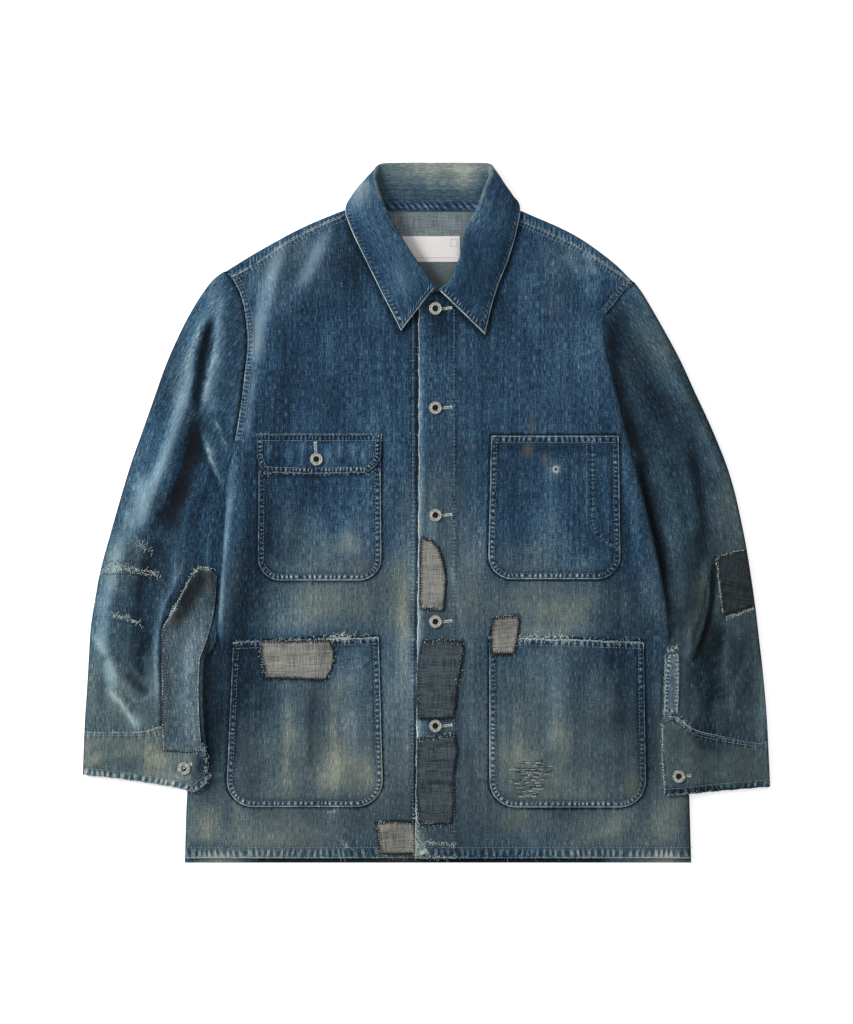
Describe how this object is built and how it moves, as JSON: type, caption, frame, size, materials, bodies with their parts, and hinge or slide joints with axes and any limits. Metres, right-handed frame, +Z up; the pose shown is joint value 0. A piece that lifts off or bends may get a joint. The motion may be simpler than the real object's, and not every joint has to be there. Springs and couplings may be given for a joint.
{
  "type": "patched denim chore jacket laid flat",
  "caption": "Worn denim chore jacket with point collar, patch pockets, mending patches and ring buttons, buttoned and laid flat on its back.",
  "frame": {"origin": "centre of the jacket's outline, on the surface it lies on", "axes": "+Y from the hem to the collar, +Z up out of the buttoned front, +X to the wearer's left"},
  "size_m": [0.7777, 0.79, 0.0159],
  "materials": {
    "denim_body": "washed indigo denim twill, matte, worn pale on edges and seams",
    "denim_worn": "heavily faded denim, matte",
    "patch_taupe": "grey-brown woven patch cloth, matte",
    "patch_dark": "dark indigo patch cloth, matte",
    "button_metal": "worn, dull ring button",
    "label_cloth": "smooth woven label, bare"
  },
  "bodies": {
    "root": {"back": "denim_body", "front_right": "denim_body", "front_left": "denim_body", "sleeve_right": "denim_body", "sleeve_left": "denim_body", "cuff_right": "denim_worn", "cuff_left": "denim_worn", "sleeve_placket_left": "denim_worn", "collar": "denim_body", "chest_pocket_right": "denim_body", "chest_pocket_left": "denim_body", "hip_pocket_right": "denim_body", "hip_pocket_left": "denim_body", "pocket_flap": "denim_body", "patch_hip_right": "patch_taupe", "patch_hip_left": "patch_taupe", "patch_placket_upper": "patch_taupe", "patch_placket_middle": "patch_dark", "patch_placket_lower": "patch_dark", "patch_hem": "patch_taupe", "patch_forearm_right": "denim_worn", "patch_elbow_left": "patch_dark", "button_front_1": "button_metal", "button_front_2": "button_metal", "button_front_3": "button_metal", "button_front_4": "button_metal", "button_front_5": "button_metal", "button_flap": "button_metal", "button_cuff_right": "button_metal", "button_cuff_left": "button_metal", "label": "label_cloth"}
  },
  "joints": []
}
